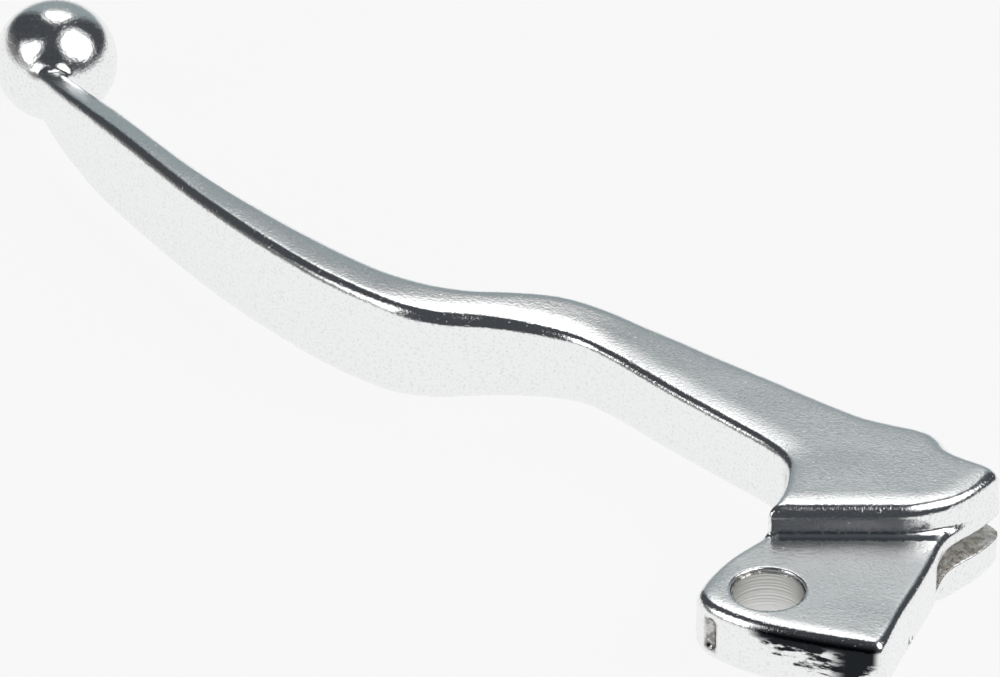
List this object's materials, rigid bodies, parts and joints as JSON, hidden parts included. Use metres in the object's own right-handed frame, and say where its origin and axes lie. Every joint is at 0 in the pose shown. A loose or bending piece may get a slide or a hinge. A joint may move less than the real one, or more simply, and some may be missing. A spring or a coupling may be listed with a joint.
{
  "type": "motorcycle clutch lever",
  "caption": "Cast motorcycle clutch lever for the left hand, with a dog-leg blade, a ball end, a bushed pivot tongue and a slotted cable anchor.",
  "frame": {"origin": "on the pivot axis, level with the underside of the pivot tongue", "axes": "+Z along the pivot axis, up through the lever; -X from the pivot towards the ball end; -Y towards the handlebar grip, +Y towards the fingers"},
  "size_m": [0.2078, 0.051, 0.0196],
  "materials": {
    "polished_alloy": "polished casting",
    "bush_steel": "fine turned rings"
  },
  "bodies": {
    "bush": {"pivot_bush": "bush_steel"},
    "lever": {"lever_body": "polished_alloy"}
  },
  "joints": [
    {"name": "lever_pull", "type": "hinge", "parent": "bush", "child": "lever", "pos_m": [0, 0, 0.0047], "axis": [0, 0, 1], "range_deg": [0, 30]}
  ]
}
